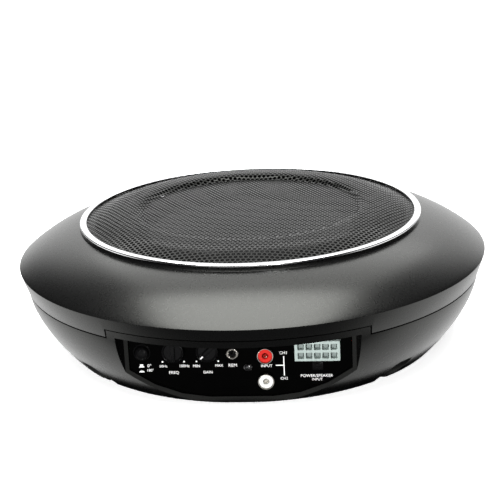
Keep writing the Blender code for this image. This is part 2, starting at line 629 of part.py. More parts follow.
def power_header():
    back = BOARD_Y - GAP
    low = (HEADER_X - HEADER_W / 2, HEADER_FACE_Y, HEADER_Z - HEADER_H / 2)
    header = box("power_header", low, (HEADER_X + HEADER_W / 2, back, HEADER_Z + HEADER_H / 2), "white_nylon")
    half, depth, row_offset = 1.65 * MM, 9 * MM, HEADER_PITCH * 0.56
    for row in (-1, 1):
        for column in range(5):
            x = HEADER_X + (column - 2) * HEADER_PITCH
            z = HEADER_Z + row * row_offset
            low = (x - half, HEADER_FACE_Y - MM, z - half)
            high = (x + half, HEADER_FACE_Y + depth, z + half)
            cut(header, box(f"pin_well_{row}_{column}", low, high, None))


def build():
    clear_scene()
    bottom_housing()
    top_housing()
    base_plate()
    fasteners_and_feet()
    trim_ring()
    grille()
    basket()
    woofer_gasket()
    surround()
    cone_and_coil()
    spider()
    motor()
    terminal_strip()
    amplifier()
    speaker_lead()
    control_plate()
    control_board()
    knob_and_pot("freq", FREQ_X, 0.0)
    knob_and_pot("gain", GAIN_X, -135.0)
    phase_button_and_switch()
    remote_jack()
    panel_screw()
    rca_pair()
    power_header()


build()
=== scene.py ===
from math import copysign, cos, hypot, pi, radians, sin, sqrt, tau

import bmesh
import bpy
import numpy as np
from mathutils import Matrix, Vector


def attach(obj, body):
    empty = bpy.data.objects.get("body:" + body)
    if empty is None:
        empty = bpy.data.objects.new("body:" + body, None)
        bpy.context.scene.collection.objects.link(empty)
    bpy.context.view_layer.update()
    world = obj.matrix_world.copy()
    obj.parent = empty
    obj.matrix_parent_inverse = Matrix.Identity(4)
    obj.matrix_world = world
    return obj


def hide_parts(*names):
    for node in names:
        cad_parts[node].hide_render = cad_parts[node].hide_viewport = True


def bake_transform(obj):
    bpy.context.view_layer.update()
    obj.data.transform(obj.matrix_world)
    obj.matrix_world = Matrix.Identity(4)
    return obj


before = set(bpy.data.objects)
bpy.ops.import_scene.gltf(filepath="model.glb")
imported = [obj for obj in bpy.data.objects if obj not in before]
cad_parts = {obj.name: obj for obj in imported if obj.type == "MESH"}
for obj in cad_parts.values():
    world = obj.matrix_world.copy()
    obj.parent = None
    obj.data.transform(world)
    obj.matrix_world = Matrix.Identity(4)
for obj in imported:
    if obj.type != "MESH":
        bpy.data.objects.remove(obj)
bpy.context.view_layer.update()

# Looks of a powered under-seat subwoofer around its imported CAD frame. Shapes are written in
# millimetres and stored in metres. Z is up and the control bay faces -Y.

MM = 0.001
ROUND = 192  # segments round the case
FINE = 64  # round small turned parts
HOLE = 40  # round holes and bores
SHARP = radians(32)  # steeper edges than this stay sharp
PAST = 10  # how far a cutter reaches beyond what it cuts

# Case
RIM = (131.0, 52.5)
SHOULDER = (96.0, 70.4)
COLLAR = (95.2, 71.9)
SHELL_BULGE = 2.2
SEAM_R, SEAM_Z, SEAM_GAP = 127.0, 40.55, 0.7
TONGUE_X, TONGUE_Z, TONGUE_R, TONGUE_BACK_Y = 66.8, 45.6, 128.4, -70.0
BASE_R, CASE_Z, FLOOR_Z, WALL = 103.5, 1.5, 6.2, 3.0
BOWL_FALL, BOWL_FULLNESS = 1.54, 1.05  # shape of the bottom housing's side
SLOPE_OUT, SLOPE_UP = 0.46, 0.89  # outward direction of the top housing's slope
OPENING_R, REBATE_R, REBATE_Z = 84.0, 92.0, 3.7
BAY_Y, BAY_X, BAY_DRAFT, BAY_TOP = -102.0, 59.2, 0.31, 41.5
POCKET_X, POCKET_NEAR, POCKET_FAR, POCKET_Z, POCKET_WALL = 67.5, 71.0, 81.0, 13.5, 2.5
CASE_BOSS = (88.0, 41.0)
FOOT_XY = (54.0, 58.0)
BASE_SCREW_R, BASE_SCREW_TURN = 88.0, radians(10)

# Grille
GRILLE_EDGE = 94.3
GRILLE_T = 0.25
PITCH, HOLE_R, HOLE_SIDES, HOLE_TURN = 2.66, 1.09, 8, 0.03
PLAIN_EDGE = 2.0  # margin without holes inside the sheet's edge
GRILLE_SHARP = radians(40)
HEIGHT_STEP, SMOOTHING = 0.25, 2.6  # of the height table, and its rounding in such steps
GRILLE_PROFILE = [
    (0, 75.9), (30, 75.9), (60.4, 75.4), (63.0, 77.5), (67, 77.75), (75, 77.2),
    (80, 76.35), (86, 74.4), (89.5, 73.3), (92.0, 72.6), (96, 72.55),
]

# Control panel
PLATE_Y, PLATE_T = -100.9, 2.0
PLATE_EDGE = [(56.8, 41.0), (56.8, 20.5), (44.0, 12.4), (30.0, 7.2), (16.0, 5.2)]
KNOB_Z, FREQ_X, GAIN_X, KNOB_R = 30.2, -34.2, -16.7, 5.7
PHASE_X, PHASE_Z, PHASE_R = -50.3, 29.5, 3.4
REMOTE_X, REMOTE_Z = -3.9, 28.5
SCREW_X, SCREW_Z = 3.8, 20.6
RCA_X, RCA_R = 13.0, 4.15
RCA_Z = {"red": 27.8, "white": 13.8}
HEADER_X, HEADER_Z, HEADER_W, HEADER_H, HEADER_PITCH = 39.4, 29.3, 23.2, 10.8, 4.2
BOARD_Y = -87.6
PRINT_FRONT, PRINT_BACK, DOT_R = PLATE_Y - 0.1, PLATE_Y + 0.05, 0.42


# ---- materials ----

WARM = (0.985, 1.0, 0.94)  # slight tint of the blacks' reflections


def nodes_of(name):
    made = bpy.data.materials.new(name)
    made.use_nodes = True
    tree = made.node_tree
    return made, tree, tree.nodes["Principled BSDF"]


def noise(tree, size_mm, detail=2.0):
    """A 3-D noise with features of about size_mm, in the piece's own frame."""
    place = tree.nodes.new("ShaderNodeTexCoord")
    made = tree.nodes.new("ShaderNodeTexNoise")
    made.inputs["Scale"].default_value = 1 / (size_mm * MM)
    made.inputs["Detail"].default_value = detail
    tree.links.new(place.outputs["Object"], made.inputs["Vector"])
    return made.outputs["Fac"]


def spread(tree, value, low, high):
    """The noise value stretched to the range low to high."""
    made = tree.nodes.new("ShaderNodeMapRange")
    made.inputs["From Min"].default_value = 0.3
    made.inputs["From Max"].default_value = 0.7
    made.inputs["To Min"].default_value = low
    made.inputs["To Max"].default_value = high
    tree.links.new(value, made.inputs["Value"])
    return made.outputs["Result"]


def bumped(tree, shader, height, depth_mm, strength):
    made = tree.nodes.new("ShaderNodeBump")
    made.inputs["Distance"].default_value = depth_mm * MM
    made.inputs["Strength"].default_value = strength
    tree.links.new(height, made.inputs["Height"])
    tree.links.new(made.outputs["Normal"], shader.inputs["Normal"])


def shaded(tree, shader, value, dark, light):
    """Base colour running from dark to light with value."""
    ramp = tree.nodes.new("ShaderNodeValToRGB")
    ramp.color_ramp.elements[0].position = 0.3
    ramp.color_ramp.elements[1].position = 0.7
    ramp.color_ramp.elements[0].color = (*dark, 1)
    ramp.color_ramp.elements[1].color = (*light, 1)
    tree.links.new(value, ramp.inputs["Fac"])
    tree.links.new(ramp.outputs["Color"], shader.inputs["Base Color"])


def finish(name, colour, roughness, metallic=0.0, specular=0.5, grain=0.6, depth=0.03,
           strength=0.4, vary=0.12, patch=9.0, rough_vary=0.05, tint=(1.0, 1.0, 1.0)):
    """A finish with grain in relief, slow changes of shade and uneven gloss."""
    made, tree, shader = nodes_of(name)
    shader.inputs["Metallic"].default_value = metallic
    shader.inputs["Specular IOR Level"].default_value = specular
    shader.inputs["Specular Tint"].default_value = (*tint, 1.0)
    dark = [c * (1 - vary) for c in colour]
    light = [min(1.0, c * (1 + vary)) for c in colour]
    slow = noise(tree, patch, 3.0)
    shaded(tree, shader, slow, dark, light)
    gloss = spread(tree, noise(tree, patch * 0.6, 2.0), roughness - rough_vary, roughness + rough_vary)
    tree.links.new(gloss, shader.inputs["Roughness"])
    bumped(tree, shader, noise(tree, grain, 1.5), depth, strength)
    return made


def woven(name, colour, roughness, thread):
    """Cloth or paper with a fine crossed weave, its colour darker in the weave's hollows as painted shade."""
    made, tree, shader = nodes_of(name)
    place = tree.nodes.new("ShaderNodeTexCoord")
    heights = []
    for turn in (0.0, pi / 2):
        turned = tree.nodes.new("ShaderNodeMapping")
        turned.inputs["Rotation"].default_value = (0, 0, turn)
        tree.links.new(place.outputs["Object"], turned.inputs["Vector"])
        wave = tree.nodes.new("ShaderNodeTexWave")
        wave.inputs["Scale"].default_value = 0.31 / (thread * MM)
        wave.inputs["Distortion"].default_value = 0.6
        tree.links.new(turned.outputs["Vector"], wave.inputs["Vector"])
        heights.append(wave.outputs["Fac"])
    both = tree.nodes.new("ShaderNodeMath")
    both.operation = "MULTIPLY"
    tree.links.new(heights[0], both.inputs[0])
    tree.links.new(heights[1], both.inputs[1])
    # Painted shade: the colour darkens to 0.6 where the weave is low.
    shaded(tree, shader, both.outputs[0], [c * 0.6 for c in colour], colour)
    shader.inputs["Roughness"].default_value = roughness
    shader.inputs["Sheen Weight"].default_value = 0.2
    bumped(tree, shader, both.outputs[0], 0.15, 0.6)
    return made


def board_finish(name):
    """Green solder mask with copper tracks showing through."""
    made, tree, shader = nodes_of(name)
    place = tree.nodes.new("ShaderNodeTexCoord")
    bricks = tree.nodes.new("ShaderNodeTexBrick")
    bricks.inputs["Scale"].default_value = 90.0
    bricks.inputs["Color1"].default_value = (0.02, 0.14, 0.05, 1)
    bricks.inputs["Color2"].default_value = (0.03, 0.18, 0.07, 1)
    bricks.inputs["Mortar"].default_value = (0.07, 0.27, 0.1, 1)
    bricks.inputs["Mortar Size"].default_value = 0.06
    tree.links.new(place.outputs["Object"], bricks.inputs["Vector"])
    tree.links.new(bricks.outputs["Color"], shader.inputs["Base Color"])
    shader.inputs["Roughness"].default_value = 0.35
    bumped(tree, shader, bricks.outputs["Fac"], 0.04, 0.3)
    return made


def winding_finish(name):
    """Lacquered copper wire in close turns, darker in the grooves between turns as painted shade."""
    made, tree, shader = nodes_of(name)
    place = tree.nodes.new("ShaderNodeTexCoord")
    wave = tree.nodes.new("ShaderNodeTexWave")
    wave.bands_direction = "Z"
    wave.inputs["Scale"].default_value = 0.31 / (0.4 * MM)
    tree.links.new(place.outputs["Object"], wave.inputs["Vector"])
    # Painted shade: the copper darkens where the wave is low, in the grooves between turns.
    shaded(tree, shader, wave.outputs["Fac"], (0.32, 0.12, 0.05), (0.78, 0.36, 0.16))
    shader.inputs["Metallic"].default_value = 1.0
    shader.inputs["Roughness"].default_value = 0.32
    bumped(tree, shader, wave.outputs["Fac"], 0.15, 0.7)
    return made


def make_finishes():
    """One finish for each material slot of the record, by slot name."""
    return {
        "case": finish("case_plastic", (0.0025, 0.0025, 0.0026), 0.28, grain=0.5, depth=0.02, strength=0.3,
                       vary=0.06, patch=3, rough_vary=0.012, tint=WARM),
        "grille": finish("grille_powder_coat", (0.004, 0.0041, 0.0038), 0.2, specular=0.24, grain=0.18,
                         depth=0.01, patch=20, tint=WARM),
        "trim": finish("trim_plating", (0.9, 0.905, 0.91), 0.16, metallic=1.0, grain=1.5, depth=0.004,
                       strength=0.1, vary=0.02, rough_vary=0.03),
        "panel": finish("panel_plastic", (0.001, 0.001, 0.001), 0.6, specular=0.01, grain=0.3, depth=0.012,
                        vary=0.1),
        "control": finish("control_plastic", (0.003, 0.003, 0.0032), 0.26, specular=0.2, grain=0.25,
                          depth=0.01, vary=0.1),
        "black_steel": finish("black_steel", (0.009, 0.009, 0.0095), 0.42, metallic=0.2, grain=0.25,
                              depth=0.01, patch=25),
        "cone": woven("cone_paper", (0.009, 0.009, 0.0095), 0.8, 0.7),
        "rubber": finish("black_rubber", (0.008, 0.008, 0.008), 0.7, specular=0.15, grain=0.35, depth=0.02),
        "zinc": finish("zinc_plate", (0.62, 0.61, 0.58), 0.34, metallic=1.0, grain=2.5, depth=0.01,
                       strength=0.2, vary=0.12, patch=3),
        "ferrite": finish("ferrite", (0.045, 0.045, 0.05), 0.62, grain=0.5, depth=0.05, patch=4, vary=0.2),
        "aluminium": finish("aluminium", (0.74, 0.75, 0.76), 0.36, metallic=1.0, grain=0.3, depth=0.01),
        "copper": winding_finish("copper_winding"),
        "spider": woven("spider_cloth", (0.72, 0.55, 0.2), 0.9, 0.6),
        "board": board_finish("board_mask"),
        "capacitor": finish("capacitor_sleeve", (0.02, 0.028, 0.07), 0.3, grain=3, depth=0.01, patch=12),
        "white": finish("white_plastic", (0.86, 0.86, 0.84), 0.42, grain=0.3, depth=0.012, vary=0.03,
                        patch=4),
        "red": finish("red_plastic", (0.55, 0.018, 0.013), 0.3, grain=0.3, depth=0.01, vary=0.06, patch=3),
        "lead": finish("lead_sleeve", (0.45, 0.03, 0.025), 0.45, grain=0.8, depth=0.03, patch=6),
        "nickel": finish("nickel_plate", (0.93, 0.89, 0.82), 0.2, metallic=1.0, grain=0.8, depth=0.004,
                         strength=0.15, vary=0.05, patch=3),
        "screw": finish("black_screw_steel", (0.3, 0.3, 0.305), 0.2, metallic=1.0, grain=0.3, depth=0.01),
    }


FINISH = make_finishes()


# ---- mesh tools ----


def lathe(profile, segments=FINE, centre=(0, 0), facing=None):
    """A closed (radius, height) outline turned about Z, or about a line along Y at facing = (x, z)."""
    bm = bmesh.new()
    rings = []
    for r, z in profile:
        count = segments if r > 1e-6 else 1
        turns = [tau * k / segments for k in range(count)]
        rings.append([bm.verts.new((r * cos(a) * MM, r * sin(a) * MM, z * MM)) for a in turns])
    for ring, following in zip(rings, rings[1:] + rings[:1]):
        for k in range(segments):
            corners = [ring[k % len(ring)], ring[(k + 1) % len(ring)]]
            corners += [following[(k + 1) % len(following)], following[k % len(following)]]
            face = list(dict.fromkeys(corners))
            if len(face) > 2:
                bm.faces.new(face)
    if facing is None:
        bmesh.ops.translate(bm, verts=bm.verts, vec=(centre[0] * MM, centre[1] * MM, 0))
    else:
        bmesh.ops.rotate(bm, verts=bm.verts, matrix=Matrix.Rotation(radians(-90), 3, "X"))
        bmesh.ops.translate(bm, verts=bm.verts, vec=(facing[0] * MM, 0, facing[1] * MM))
    return bm


def cylinder(radius, low, high, segments, **place):
    return lathe([(0, low), (radius, low), (radius, high), (0, high)], segments, **place)


def block(low, high, bevel=0.0, steps=2):
    """A box between two corners, with its edges rounded by bevel."""
    bm = bmesh.new()
    bmesh.ops.create_cube(bm, size=1.0)
    low, high = Vector(low) * MM, Vector(high) * MM
    bmesh.ops.scale(bm, verts=bm.verts, vec=high - low)
    bmesh.ops.translate(bm, verts=bm.verts, vec=(high + low) / 2)
    if bevel:
        bmesh.ops.bevel(bm, geom=bm.edges, offset=bevel * MM, segments=steps, profile=0.5, affect="EDGES")
    return bm


def extruded(outline, y_front, y_back, bevel=0.0):
    """An (x, z) outline pushed along Y, with its front and back edges rounded by bevel."""
    bm = bmesh.new()
    front = bm.faces.new([bm.verts.new((x * MM, y_front * MM, z * MM)) for x, z in outline])
    pushed = bmesh.ops.extrude_face_region(bm, geom=[front])
    moved = [v for v in pushed["geom"] if isinstance(v, bmesh.types.BMVert)]
    bmesh.ops.translate(bm, verts=moved, vec=(0, (y_back - y_front) * MM, 0))
    if bevel:
        edges = [e for e in bm.edges if abs(e.verts[0].co.y - e.verts[1].co.y) < 1e-7]
        bmesh.ops.bevel(bm, geom=edges, offset=bevel * MM, segments=2, profile=0.5, affect="EDGES")
    return bm


def merged(*parts):
    """Several bmeshes as one."""
    whole = bmesh.new()
    for part in parts:
        held = bpy.data.meshes.new("held")
        part.to_mesh(held)
        part.free()
        whole.from_mesh(held)
        bpy.data.meshes.remove(held)
    return whole


def store(name, bm, slot=None):
    """The bmesh as a named object with its slot's finish. A cutter has no slot."""
    bmesh.ops.recalc_face_normals(bm, faces=bm.faces)
    mesh = bpy.data.meshes.new(name)
    bm.to_mesh(mesh)
    bm.free()
    mesh.shade_smooth()
    mesh.set_sharp_from_angle(angle=SHARP)
    made = bpy.data.objects.new(name, mesh)
    bpy.context.scene.collection.objects.link(made)
    if slot:
        mesh.materials.append(FINISH[slot])
    return made


def carved(made, operation, cutters):
    """Applies one boolean after another and removes the cutters."""
    tools = [store(f"{made.name}_tool_{i}", bm) for i, bm in enumerate(cutters)]
    for tool in tools:
        step = made.modifiers.new("step", "BOOLEAN")
        step.operation = operation
        step.solver = "EXACT"
        step.object = tool
    evaluated = made.evaluated_get(bpy.context.evaluated_depsgraph_get())
    result = bpy.data.meshes.new_from_object(evaluated)
    made.modifiers.clear()
    made.data = result
    for tool in tools:
        bpy.data.objects.remove(tool)
    result.shade_smooth()
    result.set_sharp_from_angle(angle=SHARP)


def stand_in(made, body, *nodes):
    """The piece rides on a CAD body, and stands for these CAD nodes."""
    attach(made, body)
    if nodes:
        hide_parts(*nodes)


def mirrored(x, y):
    return [(sx * x, sy * y) for sx in (1, -1) for sy in (1, -1)]


def round_the_axis(radius, count, start=0.0):
    turns = [start + tau * i / count for i in range(count)]
    return [(radius * cos(a), radius * sin(a)) for a in turns]


def arc(centre, radius, start_deg, end_deg, steps):
    """Points of an arc in a (radius, height) outline."""
    turns = [radians(start_deg + (end_deg - start_deg) * i / steps) for i in range(steps + 1)]
    return [(centre[0] + radius * cos(a), centre[1] + radius * sin(a)) for a in turns]


# ---- case ----


def bowl(inset=0.0):
    """The side of the bottom housing, from the seam down to the base."""
    steps = 28
    points = []
    for i in range(steps + 1):
        t = i / steps
        bulge = (1 - t**BOWL_FALL) ** (1 / BOWL_FULLNESS)
        points.append((BASE_R + (SEAM_R - BASE_R) * bulge - inset, SEAM_Z + (CASE_Z - SEAM_Z) * t))
    return points


def slope(inset=0.0, steps=20):
    """The top housing from the rim up to the shoulder, slightly domed."""
    points = []
    for i in range(steps + 1):
        t = i / steps
        bulge = SHELL_BULGE * 4 * t * (1 - t)
        radius = RIM[0] + (SHOULDER[0] - RIM[0]) * t + bulge * SLOPE_OUT
        height = RIM[1] + (SHOULDER[1] - RIM[1]) * t + bulge * SLOPE_UP
        points.append((radius - inset * SLOPE_OUT, height - inset * SLOPE_UP))
    return points


def bay_block(y_flat, half_width, top, bottom):
    """A block in front of y_flat that widens towards the front, as a mould needs."""
    reach = RIM[0] + PAST + y_flat
    wide = half_width + BAY_DRAFT * reach
    bm = block((-1, -1, bottom), (1, 0, top))
    for vert in bm.verts:
        front = vert.co.y < -0.5 * MM
        vert.co.x = copysign(wide if front else half_width, vert.co.x) * MM
        vert.co.y = (y_flat - reach if front else y_flat) * MM
    return bm


def pocket_blocks(grow, bevel=0.0):
    """The four corner pockets, larger all round by grow."""
    made = []
    for sx, sy in mirrored(1, 1):
        xs = sorted((sx * (POCKET_X - grow), sx * (RIM[0] + PAST)))
        ys = sorted((sy * (POCKET_NEAR - grow), sy * (POCKET_FAR + grow)))
        made.append(block((xs[0], ys[0], -PAST), (xs[1], ys[1], POCKET_Z + grow), bevel, 3))
    return made


def plate_outline(grow=0.0):
    """The (x, z) outline of the control plate, larger all round by grow."""
    right = [(x + grow, z + (grow if i == 0 else -grow)) for i, (x, z) in enumerate(PLATE_EDGE)]
    return right + [(-x, z) for x, z in reversed(right)]


def top_shell():
    """The sloping upper housing with its collar and the step in its seam over the control bay."""
    low = SEAM_Z + SEAM_GAP / 2
    outer = [(87.5, COLLAR[1]), *arc((COLLAR[0] - 0.4, COLLAR[1] - 0.4), 0.4, 90, 0, 4)]
    outer += list(reversed(slope()[1:]))
    outer += [(RIM[0] - 0.35, RIM[1] + 0.22), (RIM[0] - 0.02, RIM[1] - 0.12), (RIM[0] - 0.12, RIM[1] - 0.6)]
    outer += [(SEAM_R + 0.35, low + 0.35), (SEAM_R + 0.05, low)]
    lip_out, lip_in = SEAM_R - WALL - 0.8, SEAM_R - WALL - 2.6
    inner = [(lip_out, low), (lip_out, low - 2.6), (lip_in, low - 2.6), (lip_in, low + 2.0)]
    inner += [(RIM[0] - WALL - 0.8, RIM[1] - 1.8)] + slope(WALL, 4)[1:-1]
    inner_top = slope(WALL)[-1][1]
    inner += [(96.7, inner_top), (91.0, inner_top - 1), (91.0, 58.5), (78.0, 58.5),
              (78.0, 61.5), (87.5, 61.5)]
    shell = store("top_shell", lathe(outer + inner, ROUND), "case")
    half = TONGUE_X + SEAM_GAP / 2
    notch = block((-half, -200, 0), (half, TONGUE_BACK_Y, TONGUE_Z + SEAM_GAP / 2))
    carved(shell, "DIFFERENCE", [notch])
    tube = [(1.8, 66.9), (4.5, 66.9), (4.5, low + 0.65), (1.8, low + 0.65)]
    carved(shell, "UNION", [lathe(tube, 32, centre=xy) for xy in mirrored(*CASE_BOSS)])
    stand_in(shell, "root", "top_housing")


def bottom_shell():
    """The bowl-shaped lower housing with the control bay and the four corner pockets."""
    top = TONGUE_Z - SEAM_GAP / 2
    side = bowl()[:-1] + [(BASE_R + 0.15, CASE_Z + 1.0), (BASE_R - 0.35, CASE_Z + 0.3),
                          (BASE_R - 1.2, CASE_Z)]
    rebate = [(REBATE_R, CASE_Z), (REBATE_R, REBATE_Z), (OPENING_R, REBATE_Z), (OPENING_R, top)]
    shell = store("bottom_shell", lathe([(TONGUE_R, top)] + side + rebate, ROUND), "case")
    carved(shell, "DIFFERENCE", [bay_block(BAY_Y, BAY_X, BAY_TOP, -PAST), *pocket_blocks(0.0, 2.6)])
    inner_side = [p for p in bowl(WALL) if p[1] > FLOOR_Z + 1]
    inner = [(0, 56), (TONGUE_R - WALL, 56), (TONGUE_R - WALL, TONGUE_Z)] + inner_side
    inner += [(inner_side[-1][0] - 2.0, FLOOR_Z), (0, FLOOR_Z)]
    cavity = store("cavity", lathe(inner, ROUND))
    backing = bay_block(BAY_Y + WALL, BAY_X + WALL, BAY_TOP + 2.2, -20)
    bosses = [cylinder(4.5, 0, 60, 32, centre=xy) for xy in mirrored(*CASE_BOSS)]
    carved(cavity, "DIFFERENCE", [backing, *pocket_blocks(POCKET_WALL), *bosses])
    hollow = bmesh.new()
    hollow.from_mesh(cavity.data)
    bpy.data.objects.remove(cavity)
    half = TONGUE_X - SEAM_GAP / 2
    seam = store("seam", block((-200, -200, SEAM_Z - SEAM_GAP / 2), (200, 200, 100)))
    carved(seam, "DIFFERENCE", [block((-half, -300, 0), (half, TONGUE_BACK_Y, 200))])
    above = bmesh.new()
    above.from_mesh(seam.data)
    bpy.data.objects.remove(seam)
    window = extruded(plate_outline(0.35), BAY_Y - 1, BAY_Y + WALL + 1)
    sunk = [(0, -1), (3.6, -1), (3.6, 4.5), (1.8, 4.51), (1.8, 60), (0, 60)]
    holes = [lathe(sunk, HOLE, centre=xy) for xy in mirrored(*CASE_BOSS)]
    for xy in round_the_axis(BASE_SCREW_R, 4, BASE_SCREW_TURN):
        holes.append(cylinder(1.5, -1, 10, 24, centre=xy))
    carved(shell, "DIFFERENCE", [hollow, window, *holes, above])
    stand_in(shell, "root", "bottom_housing")


def bottom_cover():
    """The pressed steel cover, with a rolled edge and a stiffening bead."""
    low, high, edge = 1.9, 3.4, 91.6
    profile = [(0, high), (62, high), (64, high + 0.25), (68, high + 0.25), (70, high), (edge - 0.3, high)]
    profile += [(edge, high - 0.3), (edge, low + 0.4), (edge - 0.4, low)]
    profile += [(70.5, low), (68.5, low + 0.55), (63.5, low + 0.55), (61.5, low), (0, low)]
    cover = store("bottom_cover", lathe(profile, ROUND), "black_steel")
    holes = [cylinder(1.7, 0, 9, 24, centre=xy)
             for xy in round_the_axis(BASE_SCREW_R, 4, BASE_SCREW_TURN)]
    carved(cover, "DIFFERENCE", holes)
    stand_in(cover, "root", "base_plate")


def foot(name, xy, node):
    """A rubber pad with a soft edge and a shallow dish."""
    profile = [(0, 1.6), (9.0, 1.6), (9.0, 0.7), (8.75, 0.25), (8.2, 0.0), (6.6, 0.0), (6.2, 0.35), (0, 0.45)]
    stand_in(store(name, lathe(profile, FINE, centre=xy), "rubber"), "root", node)


def cross_recess(size, depth):
    """The tool recess of a cross-head screw, opening at height 0 and running down."""
    arms = []
    for turn in (0, pi / 2):
        arm = block((-size, -size * 0.22, -depth), (size, size * 0.22, 1.0))
        for vert in arm.verts:
            if vert.co.z < 0:
                vert.co.x *= 0.45
        bmesh.ops.rotate(arm, verts=arm.verts, matrix=Matrix.Rotation(turn + 0.4, 3, "Z"))
        arms.append(arm)
    return arms


def pan_screw(name, head_r, head_t, shank_r, length, place, node):
    """A cross-head screw whose head faces along place's +Z, with its seat at the origin of place."""
    dome = [(head_r * cos(a), head_t * (0.35 + 0.65 * sin(a))) for a in (pi / 2 * i / 6 for i in range(7))]
    dome[-1] = (0, head_t)
    profile = [(head_r, 0)] + dome
    profile += [(0, -length), (shank_r * 0.6, -length), (shank_r, -length + 1), (shank_r, 0)]
    made = store(name, lathe(profile, 32), "screw")
    recess = cross_recess(head_r * 0.62, head_t * 0.7)
    for arm in recess:
        bmesh.ops.translate(arm, verts=arm.verts, vec=(0, 0, head_t * MM))
    carved(made, "DIFFERENCE", recess)
    made.data.transform(place)
    stand_in(made, "root", node)


def upside_down(x, y, z):
    """A place at a point with +Z turned to face the ground."""
    return Matrix.Translation(Vector((x, y, z)) * MM) @ Matrix.Rotation(pi, 4, "X")


def underside():
    bottom_cover()
    for i, xy in enumerate(mirrored(*FOOT_XY)):
        foot(f"foot_{i + 1}", xy, f"rubber_foot_{i + 1}")
    for i, (x, y) in enumerate(round_the_axis(BASE_SCREW_R, 4, BASE_SCREW_TURN)):
        pan_screw(f"cover_screw_{i + 1}", 2.6, 1.2, 1.3, 5.4,
                  upside_down(x, y, 1.75), f"base_screw_{i + 1}")
    for i, (x, y) in enumerate(mirrored(*CASE_BOSS)):
        pan_screw(f"housing_screw_{i + 1}", 3.2, 2.0, 1.3, 50.0,
                  upside_down(x, y, 4.2), f"case_screw_{i + 1}")


# ---- grille ----


def grille_heights():
    """A smoothed table of the grille's upper face: radii and heights."""
    radii = np.arange(-8.0, 104.0, HEIGHT_STEP)
    table = np.array(GRILLE_PROFILE, float)
    raw = np.interp(np.abs(radii), table[:, 0], table[:, 1])
    reach = np.arange(-6, 7)
    kernel = np.exp(-0.5 * (reach / SMOOTHING) ** 2)
    return radii, np.convolve(raw, kernel / kernel.sum(), mode="same")


def cell_triangles(corner_turns, hole_turns):
    """Joins the corners of one cell to the rim of its hole, as (kind, index) triples."""
    faces = []
    i, j = 0, 0
    corners, rim = len(corner_turns), len(hole_turns)
    while i < corners or j < rim:
        next_corner = corner_turns[i % corners] + (pi / 3) + tau * (i // corners)
        next_hole = hole_turns[j % rim] + (tau / rim) + tau * (j // rim)
        a, h = ("corner", i % corners), ("hole", j % rim)
        if j >= rim or (i < corners and next_corner <= next_hole):
            i += 1
            faces.append((a, ("corner", i % corners), h))
        else:
            j += 1
            faces.append((a, ("hole", j % rim), h))
    return faces


def hole_lattice():
    """Cells of the staggered pattern, as (column, row) counted in half pitches and rows."""
    row = PITCH * sqrt(3) / 2
    reach = int(GRILLE_EDGE / row) + 1
    cells = [(2 * i + j % 2, j) for j in range(-reach, reach + 1) for i in range(-reach, reach + 1)]
    return row, [(u, v) for u, v in cells if hypot(u * PITCH / 2, v * row) <= GRILLE_EDGE - PLAIN_EDGE]


def perforated_grille():
    """The steel sheet with a staggered pattern of round holes, raised round the rim."""
    row, cells = hole_lattice()
    corner_steps = [(1, 1), (0, 2), (-1, 1), (-1, -1), (0, -2), (1, -1)]  # half pitches, thirds of a row
    corner_turns = [pi / 6 + pi / 3 * k for k in range(6)]
    hole_turns = [pi / 6 + HOLE_TURN + tau * k / HOLE_SIDES for k in range(HOLE_SIDES)]
    template = cell_triangles(corner_turns, hole_turns)
    flat, shared, faces, rims, edges = [], {}, [], [], {}
    for u, v in cells:
        corner = []
        for du, dv in corner_steps:
            key = (u + du, 3 * v + dv)
            if key not in shared:
                shared[key] = len(flat)
                flat.append((key[0] * PITCH / 2, key[1] * row / 3))
            corner.append(shared[key])
        hole = list(range(len(flat), len(flat) + HOLE_SIDES))
        flat += [(u * PITCH / 2 + HOLE_R * cos(a), v * row + HOLE_R * sin(a)) for a in hole_turns]
        ids = {"corner": corner, "hole": hole}
        faces += [tuple(ids[kind][k] for kind, k in face) for face in template]
        rims += list(zip(hole, hole[1:] + hole[:1]))
        for pair in zip(corner, corner[1:] + corner[:1]):
            edges[pair] = True
    border = [(a, b) for a, b in edges if (b, a) not in edges]
    outer = {}
    for a, _ in border:
        x, y = flat[a]
        outer[a] = len(flat)
        flat.append((x / hypot(x, y) * GRILLE_EDGE, y / hypot(x, y) * GRILLE_EDGE))
    count = len(flat)
    plan = np.array(flat)
    radii, heights = grille_heights()
    z = np.interp(np.hypot(plan[:, 0], plan[:, 1]), radii, heights)
    top = np.column_stack([plan, z])
    under = np.column_stack([plan, z - GRILLE_T])
    faces += [(b, a, outer[a], outer[b]) for a, b in border]
    faces += [tuple(count + k for k in reversed(face)) for face in list(faces)]
    faces += [(a, b, count + b, count + a) for a, b in rims]
    faces += [(outer[b], outer[a], count + outer[a], count + outer[b]) for a, b in border]
    mesh = bpy.data.meshes.new("perforated_grille")
    mesh.from_pydata((np.vstack([top, under]) * MM).tolist(), [], faces)
    mesh.shade_smooth()
    mesh.set_sharp_from_angle(angle=GRILLE_SHARP)
    mesh.materials.append(FINISH["grille"])
    made = bpy.data.objects.new("perforated_grille", mesh)
    bpy.context.scene.collection.objects.link(made)
    stand_in(made, "root", "grille")


def bright_ring():
    """The plated ring that holds the grille down, rebated underneath for the sheet's edge."""
    profile = [(92.1, 73.0), (92.1, 73.45), *arc((92.45, 73.45), 0.35, 180, 90, 4)]
    profile += [*arc((95.15, 73.15), 0.65, 90, 0, 6), (95.8, 72.85), (95.0, 72.75), (94.8, 72.2),
                (94.6, 72.2), (94.6, 73.0)]
    stand_in(store("bright_ring", lathe(profile, ROUND), "trim"), "root", "trim_ring")


# ---- woofer ----


